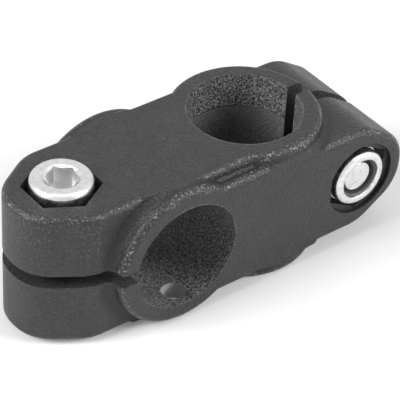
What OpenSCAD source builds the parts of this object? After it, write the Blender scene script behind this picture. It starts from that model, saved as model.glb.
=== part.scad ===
// Cross clamp for two round tubes at a right angle, in one plastic moulding,
// each tube held by its own slit, cap screw and self-locking nut.
// X runs along the body, Z up through one tube bore and Y through the other.
// Top and front are flush with the rings. Bottom and rear are set back from them.

/* [Tubes] */
// Diameter of the tube in each bore
tube_d = 30; // [26:0.5:30.5]
// Distance between the axes of the two tubes, along the body
tube_spacing = 32; // [31.5:0.5:34]
// Wall of the ring round each tube
ring_wall = 4.9; // [4:0.1:4.9]

/* [Body] */
// Length of each ring, and so height and depth of the body
body_h = 40; // [40:0.5:42]
// How far the bottom and the rear are set back from the rings' ends
set_back = 1.3; // [0.8:0.1:1.6]
// Width of the web between the two tubes
web_w = 33.4; // [32:0.2:33.8]
// Distance from a screw's axis to the end of its ear
ear_end = 14.5; // [14:0.1:15]
// Width of the flat at the ear's end, between its rounded corners
ear_flat = 1.32; // [1:0.02:1.6]
// Radius of the ear's corners, seen along the screw
ear_corner = 11.4; // [11:0.1:11.6]
// Radius that rounds the outer edges
edge_r = 1.8; // [1:0.1:2]
// Radius that blends each ring into the flats beside it
blend_r = 2.6; // [1.5:0.1:2.8]
// Radius that blends the two limbs into each other
valley_r = 1.3; // [0.6:0.1:1.4]
// Width of each clamping slit
slit_w = 3.6; // [2:0.1:4]

/* [Clamping screws] */
// Distance between the axes of the two screws, along the body
screw_spacing = 80; // [78:0.5:84]
// Diameter of the screw's shank
screw_d = 10; // [8:0.5:10]
// Length of the screw below its head
screw_l = 30; // [29:0.5:31]
// Diameter of the screw's head
head_d = 16; // [14:0.5:16]
// Height of the screw's head
head_h = 10; // [8:0.5:10]
// Width across the flats of the socket in the head
key_w = 8; // [6:0.5:8]
// Height of the head that stands out of its pocket
head_out = 2.5; // [1:0.1:3]

/* [Nuts] */
// Width across the flats of the nut
nut_w = 17; // [16:0.1:17]
// Height of the whole nut, with its collar
nut_h = 10; // [9:0.1:10]
// Height of the nut that stands out of its pocket
nut_out = 0.3; // [0:0.1:1]
// Outer diameter of the collar round the locking ring
collar_d = 16; // [15:0.1:16.2]
// Diameter of the shallow round mouth of the nut's pocket
mouth_d = 21; // [20.4:0.2:21.2]
// Depth of that mouth
mouth_h = 1.2; // [0.6:0.1:1.5]

/* [Cross hole] */
// Diameter of the cross hole in the ring of the lying tube
cross_hole_d = 6; // [4:0.5:6.5]
// Distance from the body's front face to the cross hole's axis
cross_hole_in = 5.2; // [5:0.1:8]

/* [Hidden] */
$fn = 96;
hex = 6;
half_h = body_h / 2;
back_h = half_h - set_back;
ear_h = half_h + back_h;   // thickness of the ear, along its screw
tube_x = tube_spacing / 2;
screw_x = screw_spacing / 2;
ring_r = tube_d / 2 + ring_wall;
flank_turn = acos(0.5376); // how a flank stands, its sine and cosine both exact to four decimals
flank_l = 6.25;            // length of a flank between its corners
tip_x = ear_end - ear_corner;
tip_y = ear_flat / 2;
shoulder_x = tip_x - flank_l * sin(flank_turn);
shoulder_y = tip_y + flank_l * cos(flank_turn);
ear_w = 2 * (shoulder_y + ear_corner);
beyond = 20;               // how far a cut runs past the body
screw_gap = 0.5;           // round the shank in the body
pocket_gap = 0.2;          // from each flat of the nut to its pocket
pocket_w = nut_w + 2 * pocket_gap;
head_seat = head_out - head_h;               // from the ear's face on the head's side
nut_seat = nut_h - nut_out - ear_h;
tip_chamfer = 1;
head_edge = 1;
key_depth = 5;
key_turn = 20;             // how the socket stands when the screw is tight
hex_h = 6.5;               // height of the nut's six flats
hex_edge = 1;              // height at which the nut's corners are turned off
collar_wall = 0.9;
collar_edge = 0.6;
lip_h = 0.7;               // height of the lip folded over the locking ring
lip_r = 5.7;               // inner radius of that lip
running_gap = 0.05;        // round the shank in the nut and its locking ring
sink = 1.5;                // how far a blend runs into the wall behind it

// Turns the standing tube's limb into the lying tube's one
module other_limb() {
    rotate(a = 180, v = [0, 1, -1]) children();
}

// Each places what is drawn round its screw's axis, 0 at the ear's face and Z towards the head
module lying_clamp() {
    translate([-screw_x, 0, half_h]) children();
}

module standing_clamp() {
    translate([screw_x, back_h, 0]) rotate([-90, 0, 0]) children();
}

// Rectangle with rounded corners, w wide, from height z0 to z1
module side_view(w, z0, z1) {
    translate([-w / 2 + edge_r, z0]) square([w - 2 * edge_r, z1 - z0]);
    translate([-w / 2, z0 + edge_r]) square([w, z1 - z0 - 2 * edge_r]);
    for (x = [-1, 1], z = [z0 + edge_r, z1 - edge_r])
        translate([x * (w / 2 - edge_r), z]) circle(edge_r);
}

// Half of that rectangle, from its middle line out to r
module half_view(r, z0) {
    intersection() {
        side_view(2 * r, z0, half_h);
        translate([0, -body_h]) square([2 * r, 2 * body_h]);
    }
}

// Bar along X with rounded edges, from x0 to x1
module bar(x0, x1, w) {
    translate([x0, 0, 0]) rotate([90, 0, 90])
        linear_extrude(x1 - x0) side_view(w, -back_h, half_h);
}

// Rounded wall that faces along X, from Y = 0 to l
module ear_wall(l) {
    rotate([90, 0, 180]) mirror([1, 0, 0]) linear_extrude(l) half_view(ear_corner, -back_h);
}

// Blunt end of the ear, its corners rounded
module ear_end() {
    translate([tip_x, -tip_y, 0]) ear_wall(2 * tip_y);
    for (y = [0, 1])
        mirror([0, y, 0]) {
            translate([tip_x, tip_y, 0]) {
                rotate_extrude() half_view(ear_corner, -back_h);
                rotate([0, 0, flank_turn]) ear_wall(flank_l);
            }
            translate([shoulder_x, shoulder_y, 0]) rotate_extrude() half_view(ear_corner, -back_h);
        }
    translate([0, 0, -back_h]) linear_extrude(ear_h) polygon([
        [shoulder_x, -shoulder_y],
        [tip_x, -tip_y],
        [tip_x, tip_y],
        [shoulder_x, shoulder_y],
    ]);
}

// Everything round the standing tube, and the ear of the other clamp
module standing_limb() {
    translate([tube_x, 0, 0]) rotate_extrude() half_view(ring_r, -half_h);
    bar(-tube_x, tube_x, web_w);
    bar(-screw_x - shoulder_x, tube_x, ear_w);
    translate([-screw_x, 0, 0]) mirror([1, 0, 0]) ear_end();
}

// Hollow curve where the standing ring rises from the lying limb
module ring_blend() {
    intersection() {
        translate([tube_x, 0, 0]) for (z = [0, 1])
            mirror([0, 0, z]) rotate_extrude() difference() {
                translate([ring_r - sink, ear_w / 2 - sink])
                    square(blend_r + sink);
                translate([ring_r + blend_r, ear_w / 2 + blend_r]) circle(blend_r);
            }
        translate([-screw_x, -half_h, -half_h]) cube([2 * screw_x, ear_h, body_h]);
    }
}

// Hollow curves along the four valleys between the limbs
module valley_blends() {
    for (y = [0, 1], z = [0, 1])
        mirror([0, y, 0]) mirror([0, 0, z])
            translate([-tube_x, 0, 0]) rotate([90, 0, 90])
                linear_extrude(tube_spacing) difference() {
                    translate([web_w / 2 - sink, web_w / 2 - sink])
                        square(valley_r + sink);
                    translate([web_w / 2 + valley_r, web_w / 2 + valley_r])
                        circle(valley_r);
                }
}

// Bore of the standing tube and the slit from it to the ear's end
module tube_cuts() {
    translate([tube_x, 0, 0]) cylinder(h = body_h + beyond, d = tube_d, center = true);
    translate([tube_x, -(set_back + slit_w) / 2, -body_h])
        cube([body_h + beyond, slit_w, 2 * body_h]);
}

// Hole for a screw, six-sided pockets for its head and nut, and the nut's round mouth
module screw_cuts() {
    translate([0, 0, -ear_h - beyond])
        cylinder(h = ear_h + 2 * beyond, d = screw_d + 2 * screw_gap);
    translate([0, 0, head_seat]) pocket();
    translate([0, 0, nut_seat]) mirror([0, 0, 1]) pocket();
    translate([0, 0, mouth_h - ear_h - beyond]) cylinder(h = beyond, d = mouth_d);
}

module pocket() {
    rotate([0, 0, 30]) cylinder(h = beyond, d = pocket_w / cos(30), $fn = hex);
}

module cross_hole() {
    translate([-tube_x, cross_hole_in - half_h, -ring_r - beyond])
        cylinder(h = ring_r + beyond, d = cross_hole_d);
}

module body() {
    color([0.2, 0.2, 0.21]) difference() {
        union() {
            standing_limb();
            other_limb() standing_limb();
            ring_blend();
            other_limb() ring_blend();
            valley_blends();
        }
        tube_cuts();
        other_limb() tube_cuts();
        lying_clamp() screw_cuts();
        standing_clamp() screw_cuts();
        cross_hole();
    }
}

// Socket head cap screw
module screw() {
    color([0.82, 0.83, 0.84]) translate([0, 0, head_seat]) difference() {
        rotate_extrude() polygon([
            [0, -screw_l],
            [screw_d / 2 - tip_chamfer, -screw_l],
            [screw_d / 2, tip_chamfer - screw_l],
            [screw_d / 2, 0],
            [head_d / 2, 0],
            [head_d / 2, head_h - head_edge],
            [head_d / 2 - head_edge, head_h],
            [0, head_h],
        ]);
        translate([0, 0, head_h - key_depth]) rotate([0, 0, key_turn])
            cylinder(h = beyond, d = key_w / cos(30), $fn = hex);
    }
}

// Self-locking nut, its collar outwards
module nut() {
    color([0.8, 0.81, 0.82]) translate([0, 0, nut_seat]) mirror([0, 0, 1]) difference() {
        union() {
            nut_hex();
            collar();
        }
        translate([0, 0, -1]) cylinder(h = beyond, r = screw_d / 2 + running_gap);
        translate([0, 0, hex_h]) cylinder(h = nut_h - hex_h - lip_h, r = collar_d / 2 - collar_wall);
        translate([0, 0, hex_h]) cylinder(h = beyond, r = lip_r);
    }
}

// Six flats whose corners are turned off at the outer end
module nut_hex() {
    intersection() {
        rotate([0, 0, 30]) cylinder(h = hex_h, d = nut_w / cos(30), $fn = hex);
        union() {
            cylinder(h = hex_h - hex_edge, d = 2 * nut_w);
            translate([0, 0, hex_h - hex_edge])
                cylinder(h = hex_edge, d1 = nut_w / cos(30), d2 = nut_w);
        }
    }
}

module collar() {
    cylinder(h = nut_h - collar_edge, d = collar_d);
    cylinder(h = nut_h, d = collar_d - 2 * collar_edge);
    translate([0, 0, nut_h - collar_edge])
        cylinder(h = collar_edge, d1 = collar_d, d2 = collar_d - 2 * collar_edge);
}

// Plastic ring under the nut's folded lip
module lock_ring() {
    color([0.35, 0.36, 0.38]) translate([0, 0, nut_seat]) mirror([0, 0, 1])
        translate([0, 0, hex_h]) difference() {
            cylinder(h = nut_h - hex_h - lip_h, r = collar_d / 2 - collar_wall);
            translate([0, 0, -1]) cylinder(h = nut_h, r = screw_d / 2 + running_gap);
        }
}

module screw_1() {
    lying_clamp() screw();
}

module nut_1() {
    lying_clamp() nut();
}

module lock_ring_1() {
    lying_clamp() lock_ring();
}

module screw_2() {
    standing_clamp() screw();
}

module nut_2() {
    standing_clamp() nut();
}

module lock_ring_2() {
    standing_clamp() lock_ring();
}

body();
screw_1();
nut_1();
lock_ring_1();
screw_2();
nut_2();
lock_ring_2();
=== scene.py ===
import math

import bmesh
import bpy
from mathutils import Matrix, Vector


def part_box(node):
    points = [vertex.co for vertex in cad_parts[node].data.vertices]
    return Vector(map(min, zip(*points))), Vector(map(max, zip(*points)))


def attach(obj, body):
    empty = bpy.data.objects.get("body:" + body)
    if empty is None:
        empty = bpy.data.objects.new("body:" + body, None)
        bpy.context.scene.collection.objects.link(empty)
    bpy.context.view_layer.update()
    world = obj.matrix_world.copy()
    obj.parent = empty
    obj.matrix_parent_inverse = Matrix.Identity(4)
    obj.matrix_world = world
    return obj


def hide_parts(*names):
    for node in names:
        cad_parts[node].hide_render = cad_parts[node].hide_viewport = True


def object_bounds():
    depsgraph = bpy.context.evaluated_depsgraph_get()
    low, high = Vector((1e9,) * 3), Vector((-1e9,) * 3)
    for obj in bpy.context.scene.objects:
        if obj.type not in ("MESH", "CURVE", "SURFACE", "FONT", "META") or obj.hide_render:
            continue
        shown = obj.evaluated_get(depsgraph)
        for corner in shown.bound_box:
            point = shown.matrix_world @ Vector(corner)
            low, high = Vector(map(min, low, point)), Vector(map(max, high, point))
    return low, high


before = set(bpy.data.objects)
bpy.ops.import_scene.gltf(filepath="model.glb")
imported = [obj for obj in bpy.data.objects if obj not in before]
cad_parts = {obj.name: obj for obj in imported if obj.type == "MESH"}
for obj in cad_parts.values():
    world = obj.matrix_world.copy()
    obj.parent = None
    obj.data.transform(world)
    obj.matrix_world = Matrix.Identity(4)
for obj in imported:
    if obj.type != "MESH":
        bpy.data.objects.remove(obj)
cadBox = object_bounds()
print("frame loaded")

mm = 0.001
weld = 0.001 * mm  # points as near as this become one

# Each clamp has its own frame: Z along its screw, 0 at the top of the head, the nut below.
screwBox = {number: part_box("screw_" + number) for number in "12"}
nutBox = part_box("nut_1")
headTop = screwBox["1"][1].z
screwEnd = screwBox["1"][0].z - headTop
nutFace = nutBox[0].z - headTop
screwX = (screwBox["2"][0].x + screwBox["2"][1].x) / 2
quarterBack = Matrix.Rotation(math.radians(-90), 4, "X")
clamps = {
    "1": Matrix.Translation((-screwX, 0, headTop)),
    "2": Matrix.Translation((screwX, screwBox["2"][1].y, 0)) @ quarterBack,
}


class Wire:  # a socket that + - and * work on
    def __init__(self, finish, socket):
        self.finish = finish
        self.socket = socket

    def maths(self, operation, first, second):
        return self.finish.add("ShaderNodeMath", {"operation": operation}, {0: first, 1: second})

    def __add__(self, other):
        return self.maths("ADD", self, other)

    def __radd__(self, other):
        return self.maths("ADD", other, self)

    def __sub__(self, other):
        return self.maths("SUBTRACT", self, other)

    def __rsub__(self, other):
        return self.maths("SUBTRACT", other, self)

    def __mul__(self, other):
        return self.maths("MULTIPLY", self, other)

    def __rmul__(self, other):
        return self.maths("MULTIPLY", other, self)


class Finish:  # the nodes of one material, or of the world
    def __init__(self, owner):
        owner.use_nodes = True
        self.owner = owner
        self.tree = owner.node_tree
        self.tree.nodes.clear()

    def add(self, kind, settings=None, inputs=None, output=0):
        node = self.tree.nodes.new(kind)
        for key, value in (settings or {}).items():
            setattr(node, key, value)
        for key, value in (inputs or {}).items():
            if isinstance(value, Wire):
                self.tree.links.new(value.socket, node.inputs[key])
            else:
                node.inputs[key].default_value = value
        return Wire(self, node.outputs[output]) if node.outputs else None

    def place(self, turn=None):  # in millimetres, in a clamp's own frame if one is given
        spot = self.add("ShaderNodeTexCoord", output="Object")
        if turn is not None:
            back = turn.inverted()
            spot = self.add("ShaderNodeMapping", inputs={
                "Vector": spot, "Location": back.to_translation(),
                "Rotation": back.to_euler("XYZ")})
        return self.add("ShaderNodeVectorMath", {"operation": "SCALE"}, {0: spot, "Scale": 1 / mm})

    def shift(self, spot, move, turn=(0, 0, 0)):  # turned by degrees first, then moved
        return self.add("ShaderNodeMapping", inputs={
            "Vector": spot, "Location": move, "Rotation": [math.radians(angle) for angle in turn]})

    def fromAxis(self, spot):  # distance from the Z axis
        flat = self.add("ShaderNodeVectorMath", {"operation": "MULTIPLY"}, {0: spot, 1: (1, 1, 0)})
        return self.add("ShaderNodeVectorMath", {"operation": "LENGTH"}, {0: flat}, output="Value")

    def height(self, spot):
        return self.add("ShaderNodeSeparateXYZ", inputs={0: spot}, output="Z")

    def attribute(self, name):  # a value kept at the mesh's points
        return self.add("ShaderNodeAttribute", {"attribute_name": name}, output="Fac")

    def noise(self, spot, size, detail=2, rough=0.5):  # size of a blob in millimetres
        return self.add("ShaderNodeTexNoise", {"normalize": True}, {
            "Vector": spot, "Scale": 1 / size, "Detail": detail, "Roughness": rough})

    def between(self, value, start, stop):  # 0 at start, 1 at stop
        return self.add("ShaderNodeMapRange", {"clamp": True}, {0: value, 1: start, 2: stop})

    def past(self, value, place, window):  # the same, its start and stop given from a place
        return self.between(value, place + window[0], place + window[1])

    def mix(self, amount, first, second):  # two colours
        return self.add("ShaderNodeMix", {"data_type": "RGBA"},
                        {0: amount, 6: first, 7: second}, output=2)

    def bump(self, height, depth):  # depth in millimetres
        return self.add("ShaderNodeBump", inputs={
            "Height": height, "Distance": depth * mm, "Strength": 1})

    def done(self, **inputs):
        shader = self.add("ShaderNodeBsdfPrincipled", inputs={
            key.replace("_", " "): value for key, value in inputs.items()})
        self.add("ShaderNodeOutputMaterial", inputs={"Surface": shader})
        return self.owner


plastic = {
    "dark": (0.017, 0.017, 0.0175, 1),
    "pale": (0.058, 0.058, 0.059, 1),
    "hollowShade": (0.006, 0.006, 0.006, 1),  # painted shade in the hollows between the forms
    "edgeHighlight": (0.42, 0.42, 0.422, 1),   # painted highlight on the tops of the grain along the edges
    "roughness": 0.32,
    "gloss": 0.42,
    "grain": 0.62,           # mm, size of the spark-eroded grain
    "grainDepth": 0.34,      # mm
    "patch": 6,              # mm, size of the faint patches
    "peaks": (0.45, 0.62),   # heights of the grain over which it turns paler
    "specks": (0.56, 0.66),  # and over which the painted highlight shows
    "peakShare": 0.6,
    "patchShare": 0.4,
    "hollowShadeShare": 0.85,
    "edgeHighlightShare": 0.85,
    "peakRough": 0.12,
    "edgeHighlightShine": 0.1,
}

# In the bores the pale colour is painted light: glints on the grain and a highlight on the ledge.
bores = {
    "dark": (0.018, 0.018, 0.018, 1),
    "pale": (0.38, 0.38, 0.382, 1),
    "fromMiddle": 16,       # mm, to each bore's axis
    "radius": 15,           # mm
    "edge": (0.05, 0.2),    # mm beyond the radius, where this finish ends
    "grain": 0.5,           # mm
    "grainDepth": 0.4,      # mm, coarser, to grip the tube
    "boreGlints": (0.42, 0.64),   # heights of the grain over which painted glints show
    "parting": 10,          # mm from the middle, where the standing bore's two cores meet
    "coarse": (-0.2, 0.1),  # mm from the parting, where the coarse grain starts
    "line": (-0.5, -0.25),  # mm from the parting, where the painted highlight line on the ledge starts
    "step": 0.12,           # mm, between the two cores
    "lift": 100,            # mm, puts all of the lying bore beyond the parting
    "fineShare": 0.3,       # of the grain and its painted glints, on the fine side
    "coarseGlints": 0.6,      # more painted glints on the coarse side
    "coarseShare": 0.7,     # more depth on the coarse side
    "fineSideLight": 0.22,
    "ledgeHighlightTone": 0.25,
}

crossHole = {
    "cut": (0.5, 0.5, 0.502, 1),  # painted light on its drilled wall
    "along": 14.8,                # mm, from the middle towards -Y
    "radius": 3.05,               # mm
    "edge": (0, 0.1),             # mm beyond the radius
    "top": (-13, -14),            # mm, height where the painted pale wall starts
}


def makePlastic():
    p, b, h = plastic, bores, crossHole
    finish = Finish(bpy.data.materials.new("blackPlastic"))
    spot = finish.place()
    grain = finish.noise(spot, p["grain"], detail=2, rough=0.6)
    patches = finish.noise(spot, p["patch"], detail=3)
    peaks = finish.between(grain, *p["peaks"])
    shade = finish.mix(peaks * p["peakShare"] + patches * p["patchShare"], p["dark"], p["pale"])
    # painted shade: the hollows are darkened
    shade = finish.mix(finish.attribute("valley") * p["hollowShadeShare"], shade, p["hollowShade"])
    # painted highlight: pale, glossier specks on the grain along the rounded edges
    edgeHighlight = finish.between(grain, *p["specks"]) * finish.attribute("edge") * p["edgeHighlightShare"]
    shade = finish.mix(edgeHighlight, shade, p["edgeHighlight"])

    # one bore stands and the other lies along Y; each is told by the distance from its axis
    standing, lying = (
        1 - finish.past(finish.fromAxis(finish.shift(spot, (side * b["fromMiddle"], 0, 0), turn)),
                        b["radius"], b["edge"])
        for side, turn in ((-1, (0, 0, 0)), (1, (-90, 0, 0))))
    bore = standing + lying
    high = finish.height(spot) + lying * b["lift"]
    coarse = finish.past(high, b["parting"], b["coarse"])
    line = finish.past(high, b["parting"], b["line"]) - coarse
    boreGrain = finish.noise(spot, b["grain"], detail=2, rough=0.65)
    # painted light: pale glints on the bore grain, a paler tone on the fine side, a highlight line
    # on the ledge
    boreGlints = finish.between(boreGrain, *b["boreGlints"]) * (coarse * b["coarseGlints"] + b["fineShare"])
    boreLight = boreGlints + (1 - coarse) * b["fineSideLight"] + line * b["ledgeHighlightTone"]
    shade = finish.mix(bore, shade, finish.mix(boreLight, b["dark"], b["pale"]))
    boreHeight = boreGrain * (coarse * b["coarseShare"] + b["fineShare"]) * b["grainDepth"]
    boreHeight = boreHeight + coarse * b["step"]
    height = grain * p["grainDepth"] * (1 - bore) + boreHeight * bore

    # the cross hole is drilled through the underside of the lying tube's ring; its wall is painted
    # pale for light on it, without grain
    fromHole = finish.fromAxis(finish.shift(spot, (b["fromMiddle"], h["along"], 0)))
    hole = 1 - finish.past(fromHole, h["radius"], h["edge"])
    hole = hole * finish.between(finish.height(spot), *h["top"])
    return finish.done(
        Base_Color=finish.mix(hole, shade, h["cut"]),
        Roughness=p["roughness"] + peaks * p["peakRough"] - edgeHighlight * p["edgeHighlightShine"],
        Specular_IOR_Level=p["gloss"],
        Normal=finish.bump(height * (1 - hole), 1),
    )


steel = {
    "bright": (0.88, 0.885, 0.89, 1),
    "dull": (0.5, 0.5, 0.495, 1),
    "flankColour": (0.2, 0.198, 0.19, 1),
    "roughness": 0.2,
    "cloud": 1.4,                # mm, size of the dull clouds
    "cloudy": (0.45, 0.75),
    "cloudShare": 0.6,
    "speck": 0.5,                # mm, size of the specks
    "specked": (0.68, 0.74),
    "speckShare": 0.4,
    "fine": 0.16,                # mm, size of the fine unevenness
    "fineDepth": 0.006,          # mm
    "socketWall": (4.4, 4.9),    # mm from the axis
    "socketTop": (-0.3, -1.6),   # mm, heights from the head's top
    "socketFloor": (-7, -6),
    "socketClean": 0.8,          # less dirt in the socket
    "socketDarker": 0.6,
    "threadRoot": (4.0, 4.15),   # mm from the axis, the bright end face lies inside it
    "threadCrest": (5.0, 5.1),
    "threadTop": (-9.9, -10.1),  # mm, heights from the head's top
    "flankShare": 0.85,
    "dirtRough": 0.16,
    "fineRough": 0.06,
    "flankRough": 0.2,
    "socketRough": 0.1,
}


def makeSteel(name, turn):
    s = steel
    finish = Finish(bpy.data.materials.new(name))
    spot = finish.place(turn)
    clouds = finish.between(finish.noise(spot, s["cloud"], detail=4, rough=0.6), *s["cloudy"])
    specks = finish.between(finish.noise(spot, s["speck"], detail=1), *s["specked"])
    fine = finish.noise(spot, s["fine"], detail=2)
    out = finish.fromAxis(spot)
    depth = finish.height(spot)
    socket = (1 - finish.between(out, *s["socketWall"])) * (
        finish.between(depth, *s["socketTop"]) * finish.between(depth, *s["socketFloor"]))
    dirt = (clouds * s["cloudShare"] + specks * s["speckShare"]) * (1 - socket * s["socketClean"])
    # the thread's flanks and roots, below the head, are darker and rougher
    thread = finish.between(out, *s["threadRoot"]) * (1 - finish.between(out, *s["threadCrest"]))
    darkFlanks = thread * finish.between(depth, *s["threadTop"])
    # darker and rougher inside the socket
    shade = finish.mix(dirt + socket * s["socketDarker"], s["bright"], s["dull"])
    rough = s["roughness"] + dirt * s["dirtRough"] + fine * s["fineRough"]
    return finish.done(
        Base_Color=finish.mix(darkFlanks * s["flankShare"], shade, s["flankColour"]),
        Metallic=1.0,
        Roughness=rough + darkFlanks * s["flankRough"] + socket * s["socketRough"],
        Normal=finish.bump(fine, s["fineDepth"]),
    )


nylon = {
    "dark": (0.05, 0.052, 0.054, 1),
    "pale": (0.12, 0.12, 0.122, 1),
    "cloud": 0.8,        # mm
    "cloudDepth": 0.02,  # mm
    "roughness": 0.35,
    "cloudRough": 0.15,
}


def makeNylon():
    finish = Finish(bpy.data.materials.new("greyNylon"))
    clouds = finish.noise(finish.place(), nylon["cloud"], detail=3)
    return finish.done(
        Base_Color=finish.mix(clouds, nylon["dark"], nylon["pale"]),
        Roughness=nylon["roughness"] + clouds * nylon["cloudRough"],
        Normal=finish.bump(clouds, nylon["cloudDepth"]),
    )


plasticFinish = makePlastic()
steelFinish = {number: makeSteel("zincSteel" + number, turn) for number, turn in clamps.items()}
nylonFinish = makeNylon()
print("materials made")


def link(name, data):
    obj = bpy.data.objects.new(name, data)
    bpy.context.scene.collection.objects.link(obj)
    return obj


def meshFrom(bm, name):
    mesh = bpy.data.meshes.new(name)
    bm.to_mesh(mesh)
    bm.free()
    return mesh


def keep(bm, name, finish, body, replaced):  # makes a finished piece of a bmesh
    mesh = meshFrom(bm, name)
    mesh.materials.append(finish)
    piece = link(name, mesh)
    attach(piece, body)
    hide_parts(replaced)
    return piece


def softenShade(piece, degrees=30):  # smooth, but for edges where faces meet more sharply
    for face in piece.data.polygons:
        face.use_smooth = True
    piece.data.set_sharp_from_angle(angle=math.radians(degrees))
    flatten = piece.modifiers.new("flatten", "WEIGHTED_NORMAL")  # broad faces stay flat
    flatten.keep_sharp = True
    flatten.weight = 100


ringSteps = 96  # round a turned piece


def lathe(bm, outline, closed=True):  # turns (radius, height) points round Z
    verts = [bm.verts.new((radius, 0, height)) for radius, height in outline]
    edges = [bm.edges.new(pair) for pair in zip(verts, verts[1:])]
    if closed:
        edges.append(bm.edges.new((verts[-1], verts[0])))
    bmesh.ops.spin(bm, geom=verts + edges, cent=(0, 0, 0), axis=(0, 0, 1), angle=2 * math.pi,
                   steps=ringSteps, use_merge=True)
    bmesh.ops.remove_doubles(bm, verts=bm.verts, dist=weld)


def drawHex(bm, flats, height, circle=0, slope=0):  # a ring out to a hexagon, corner along X
    for vert in bm.verts:
        if abs(vert.co.xy.length - flats / 2) < weld and abs(vert.co.z - height) < weld:
            angle = math.degrees(math.atan2(vert.co.y, vert.co.x)) % 60 - 30
            vert.co.xy = vert.co.xy / math.cos(math.radians(angle))
            vert.co.z += (vert.co.xy.length - circle) * slope


def turnBy(bm, degrees):
    bmesh.ops.rotate(bm, verts=bm.verts, cent=(0, 0, 0),
                     matrix=Matrix.Rotation(math.radians(degrees), 3, "Z"))


def arc(centre, radius, start, stop, steps):  # (radius, height) points
    points = []
    for step in range(steps + 1):
        angle = math.radians(start + (stop - start) * step / steps)
        points.append((centre[0] + radius * math.cos(angle), centre[1] + radius * math.sin(angle)))
    return points


bodyWork = {
    "rim": 0.25 * mm,         # rounding of the bores' rims and the pockets' edges
    "rimSteps": 2,
    "rimAngle": 35,           # degrees, edges sharper than this are rounded
    "flatAngle": 0.5,         # degrees, faces that meet flatter than this become one
    "shadeAngle": 40,         # degrees
    "edgeBend": 3.4 * mm,     # the greater, the wider the painted highlight along an edge
    "valleyBend": 4 * mm,     # the greater, the wider the painted shade in a hollow
    "crest": 0.6 * mm,        # how far under the flat the painted highlight is strongest
    "crestWidth": 0.6 * mm,
    "backFlat": 18.7 * mm,    # from the middle to the ears' other faces
}
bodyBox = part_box("body")


def markEdges(bm):  # how tightly the skin bends out and in, as two attributes for the finish: they place the painted highlight on edges and the painted shade in hollows
    w = bodyWork
    edgeLayer = bm.verts.layers.float.new("edge")
    valleyLayer = bm.verts.layers.float.new("valley")
    flats = [bodyBox[1].z, w["backFlat"]]
    for vert in bm.verts:
        turned = sum(edge.calc_length() * edge.calc_face_angle_signed(0)
                     for edge in vert.link_edges)
        bend = turned / sum(face.calc_area() for face in vert.link_faces)
        under = min(abs(flat - abs(vert.co[axis]) - w["crest"])
                    for axis in (1, 2) for flat in flats)
        crest = max(0, 1 - under / w["crestWidth"])
        vert[edgeLayer] = min(max(bend * w["edgeBend"], 0), 1) * crest
        vert[valleyLayer] = min(max(-bend * w["valleyBend"], 0), 1)


def makeBody():
    w = bodyWork
    bm = bmesh.new()
    bm.from_mesh(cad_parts["body"].data)
    bmesh.ops.remove_doubles(bm, verts=bm.verts, dist=weld)
    bmesh.ops.dissolve_limit(bm, angle_limit=math.radians(w["flatAngle"]), verts=bm.verts,
                             edges=bm.edges)
    sharp = [edge for edge in bm.edges if len(edge.link_faces) == 2
             and edge.calc_face_angle() > math.radians(w["rimAngle"])]
    bmesh.ops.bevel(bm, geom=sharp, offset=w["rim"], offset_type="OFFSET", segments=w["rimSteps"],
                    profile=0.5, affect="EDGES", clamp_overlap=True, material=-1)
    markEdges(bm)
    piece = keep(bm, "clampBody", plasticFinish, "clamp_body", "body")
    softenShade(piece, w["shadeAngle"])


makeBody()
print("body made")


capScrew = {
    "headRadius": 8 * mm,
    "headHeight": 10 * mm,
    "headEdge": 1.5 * mm,       # rounding of the head's top edge
    "headEdgeSteps": 8,
    "keyFlats": 8 * mm,
    "keyDepth": 5 * mm,
    "keyTurn": 20,              # degrees
    "keyMouth": 4.85 * mm,      # radius of the cone turned into the socket's mouth
    "keySlope": 0.7,            # of that cone
    "seatEdge": 0.3 * mm,
    "radius": 5 * mm,
    "pitch": 1.5 * mm,
    "threadDepth": 0.92 * mm,
    "threadFoot": 0.25,         # parts of a pitch, where the flanks start and end
    "threadCrest": (0.56, 0.69),
    "threadIn": 0.2 * mm,       # how far the thread runs into the head
    "tipRadius": 4 * mm,
    "stepsPerTurn": 48,
}


def makeHead(bm, seat):
    s = capScrew
    edge, flats, key = s["headEdge"], s["keyFlats"], s["keyDepth"]
    outline = [(0, -key), (flats / 2, -key), (flats / 2, 0), (s["keyMouth"], 0)]
    outline += arc((s["headRadius"] - edge, -edge), edge, 90, 0, s["headEdgeSteps"])
    outline += [(s["headRadius"], seat + s["seatEdge"]), (s["headRadius"] - s["seatEdge"], seat)]
    lathe(bm, outline + [(0, seat)], closed=False)
    drawHex(bm, flats, -key)
    drawHex(bm, flats, 0, s["keyMouth"], s["keySlope"])
    turnBy(bm, s["keyTurn"])


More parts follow.
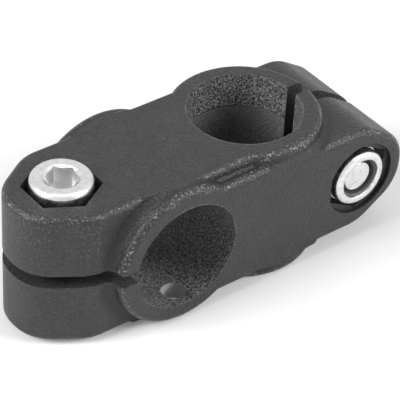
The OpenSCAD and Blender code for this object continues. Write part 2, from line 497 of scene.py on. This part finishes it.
def makeThread(bm, seat):  # the outline of one pitch, wound round the axis
    s = capScrew
    head = set(bm.verts)
    crest, pitch = s["radius"], s["pitch"]
    root = crest - s["threadDepth"]
    rise, fall = s["threadCrest"]
    outline = [(root, 0), (root, s["threadFoot"]), (crest, rise), (crest, fall), (root, 1)]
    chain = [bm.verts.new((radius, 0, screwEnd + (part - 1) * pitch)) for radius, part in outline]
    links = [bm.edges.new(pair) for pair in zip(chain, chain[1:])]
    turns = math.ceil((seat - screwEnd) / pitch) + 2  # a spare one at each end, cut off after
    bmesh.ops.spin(bm, geom=chain + links, cent=(0, 0, 0), axis=(0, 0, 1),
                   angle=2 * math.pi * turns, steps=s["stepsPerTurn"] * turns,
                   dvec=(0, 0, pitch / s["stepsPerTurn"]))
    verts = [vert for vert in bm.verts if vert not in head]
    bmesh.ops.remove_doubles(bm, verts=verts, dist=2 * weld)
    for height, side in ((screwEnd, -1), (seat + s["threadIn"], 1)):
        faces = [face for face in bm.faces if not head.intersection(face.verts)]
        edges = {edge for face in faces for edge in face.edges}
        verts = {vert for face in faces for vert in face.verts}
        if side < 0:  # the tip's chamfer
            for vert in verts:
                limit = s["tipRadius"] + max(0, vert.co.z - screwEnd)
                if vert.co.xy.length > limit:
                    vert.co.xy = vert.co.xy.normalized() * limit
        made = bmesh.ops.bisect_plane(bm, geom=[*verts, *edges, *faces], dist=weld / 10,
                                      clear_outer=True, plane_co=(0, 0, height),
                                      plane_no=(0, 0, side))
        rim = [part for part in made["geom_cut"] if isinstance(part, bmesh.types.BMEdge)]
        bmesh.ops.edgeloop_fill(bm, edges=rim)


def makeScrew(number, turn):
    bm = bmesh.new()
    seat = -capScrew["headHeight"]
    makeHead(bm, seat)
    makeThread(bm, seat)
    bmesh.ops.recalc_face_normals(bm, faces=bm.faces)
    bm.transform(turn)
    piece = keep(bm, "capScrew" + number, steelFinish[number], "cap_screw_" + number,
                 "screw_" + number)
    softenShade(piece)


for number, turn in clamps.items():
    makeScrew(number, turn)
print("screws made")


lockNut = {
    "flats": 17 * mm,
    "height": 10 * mm,
    "hexHeight": 6.5 * mm,
    "turn": 30,             # degrees
    "turned": 8.3 * mm,     # radius to which both ends of the hexagon are turned
    "slope": 0.58,          # of the turned corners
    "bore": 5.05 * mm,
    "boreMouth": 5.5 * mm,
    "collar": 8 * mm,       # radius
    "collarWall": 0.9 * mm,
    "fold": 1.2 * mm,       # rounding where the collar folds in
    "foldSteps": 8,
    "lip": 5.7 * mm,        # radius
    "lipThick": 0.7 * mm,
    "lipEdge": 0.3 * mm,    # rounding of the lip's edge
    "lipEdgeSteps": 4,
}


def nutPlace(turn):  # Z from the nut's seat out to its collar
    out = Matrix.Translation((0, 0, nutFace + lockNut["height"]))
    return turn @ out @ Matrix.Rotation(math.pi, 4, "X")


def makeNut(number, turn):
    n = lockNut
    bm = bmesh.new()
    half, hexTop, top = n["flats"] / 2, n["hexHeight"], n["height"]
    inner = n["collar"] - n["collarWall"]
    under = top - n["lipThick"]
    outline = [(n["boreMouth"], 0), (n["turned"], 0), (half, 0), (half, hexTop)]
    outline += [(n["turned"], hexTop), (n["collar"], hexTop)]
    outline += arc((n["collar"] - n["fold"], top - n["fold"]), n["fold"], 0, 90, n["foldSteps"])
    outline += arc((n["lip"] + n["lipEdge"], top - n["lipEdge"]), n["lipEdge"], 90, 180,
                   n["lipEdgeSteps"])
    outline += [(n["lip"], under), (inner, under), (inner, hexTop), (n["bore"], hexTop)]
    outline += [(n["bore"], n["boreMouth"] - n["bore"])]
    lathe(bm, outline)
    drawHex(bm, n["flats"], 0, n["turned"], n["slope"])
    drawHex(bm, n["flats"], hexTop, n["turned"], -n["slope"])
    turnBy(bm, n["turn"])
    bmesh.ops.recalc_face_normals(bm, faces=bm.faces)
    bm.transform(nutPlace(turn))
    piece = keep(bm, "lockNut" + number, steelFinish[number], "lock_nut_" + number,
                 "nut_" + number)
    softenShade(piece)


nylonRing = {
    "bore": 5.05 * mm,
    "gap": 0.02 * mm,   # to the nut's collar
    "edge": 0.4 * mm,   # rounding of its bore's rims
    "edgeSteps": 5,
}


def makeNylonRing(number, turn):
    n, r = lockNut, nylonRing
    bm = bmesh.new()
    outer = n["collar"] - n["collarWall"] - r["gap"]
    bottom = n["hexHeight"] + r["gap"]
    top = n["height"] - n["lipThick"] - r["gap"]
    edge = r["edge"]
    outline = [(outer, bottom), (outer, top)]
    outline += arc((r["bore"] + edge, top - edge), edge, 90, 180, r["edgeSteps"])
    outline += arc((r["bore"] + edge, bottom + edge), edge, 180, 270, r["edgeSteps"])
    lathe(bm, outline)
    bmesh.ops.recalc_face_normals(bm, faces=bm.faces)
    bm.transform(nutPlace(turn))
    piece = keep(bm, "nylonRing" + number, nylonFinish, "lock_nut_" + number,
                 "lock_ring_" + number)
    softenShade(piece)


for number, turn in clamps.items():
    makeNut(number, turn)
    makeNylonRing(number, turn)
print("nuts made")


camera = {
    "azimuth": -39.37,   # degrees, 0 looks along +Y
    "elevation": 38.48,
    "roll": 3.43,
    "distance": 0.5293,
    "lens": 186.5,
    "sensor": 36,
    "clip": (0.01, 20),
    "aimRight": 2.37 * mm,
    "aimDown": 2.0 * mm,
}


def makeCamera():
    az, el, roll = (math.radians(camera[key]) for key in ("azimuth", "elevation", "roll"))
    away = Vector((math.sin(az) * math.cos(el), -math.cos(az) * math.cos(el), math.sin(el)))
    side = Vector((math.cos(az), math.sin(az), 0))
    right = side * math.cos(roll) + away.cross(side) * math.sin(roll)
    up = away.cross(right)
    aim = right * camera["aimRight"] - up * camera["aimDown"]
    data = bpy.data.cameras.new("camera")
    data.lens = camera["lens"]
    data.sensor_width = camera["sensor"]
    data.clip_start, data.clip_end = camera["clip"]
    obj = link("camera", data)
    facing = Matrix((right, up, away)).transposed().to_4x4()
    obj.matrix_world = Matrix.Translation(away * camera["distance"] + aim) @ facing
    bpy.context.scene.camera = obj


studio = {
    "ambient": 0.16,
    "background": 1,
    "floorGlow": 0.14,     # seen by the camera alone
    "floorColour": (0.9, 0.9, 0.9, 1),
    "floorRough": 0.9,
    "floorSize": 3,
    "lamps": [  # name, where, size, watts
        ("left", (-1.05, 0.25, 0.75), 0.7, 17),
        ("above", (0.1, -0.1, 1.3), 0.8, 3),
        ("right", (0.75, -0.9, 0.7), 0.6, 13),
    ],
}


def makeLamps():
    for name, spot, size, watts in studio["lamps"]:
        data = bpy.data.lights.new(name, "AREA")
        data.shape = "SQUARE"
        data.size = size
        data.energy = watts
        lamp = link(name, data)
        lamp.location = spot
        lamp.rotation_euler = Vector(spot).to_track_quat("Z", "Y").to_euler()


def makeWorld():  # bright where it is seen, straight or in a gloss, and dim as a light
    world = bpy.data.worlds.new("studio")
    bpy.context.scene.world = world
    finish = Finish(world)
    seen, glossy, through = (finish.add("ShaderNodeLightPath", output=kind) for kind in (
        "Is Camera Ray", "Is Glossy Ray", "Is Transmission Ray"))
    seen = seen.maths("MAXIMUM", seen, glossy)
    seen = seen.maths("MAXIMUM", seen, through)
    strength = finish.add("ShaderNodeMix", inputs={
        0: seen, 2: studio["ambient"], 3: studio["background"]})
    back = finish.add("ShaderNodeBackground", inputs={"Strength": strength})
    finish.add("ShaderNodeOutputWorld", inputs={"Surface": back})


def makeFloor():
    bm = bmesh.new()
    bmesh.ops.create_grid(bm, x_segments=1, y_segments=1, size=studio["floorSize"])
    bm.transform(Matrix.Translation((0, 0, cadBox[0].z)))
    mesh = meshFrom(bm, "floor")
    obj = link("floor", mesh)
    finish = Finish(bpy.data.materials.new("floor"))
    seen = finish.add("ShaderNodeLightPath", output="Is Camera Ray")
    mesh.materials.append(finish.done(
        Base_Color=studio["floorColour"], Roughness=studio["floorRough"],
        Emission_Color=(1, 1, 1, 1), Emission_Strength=seen * studio["floorGlow"]))


makeCamera()
makeLamps()
makeWorld()
makeFloor()
bpy.context.scene.view_settings.view_transform = "Standard"
print("scene made")
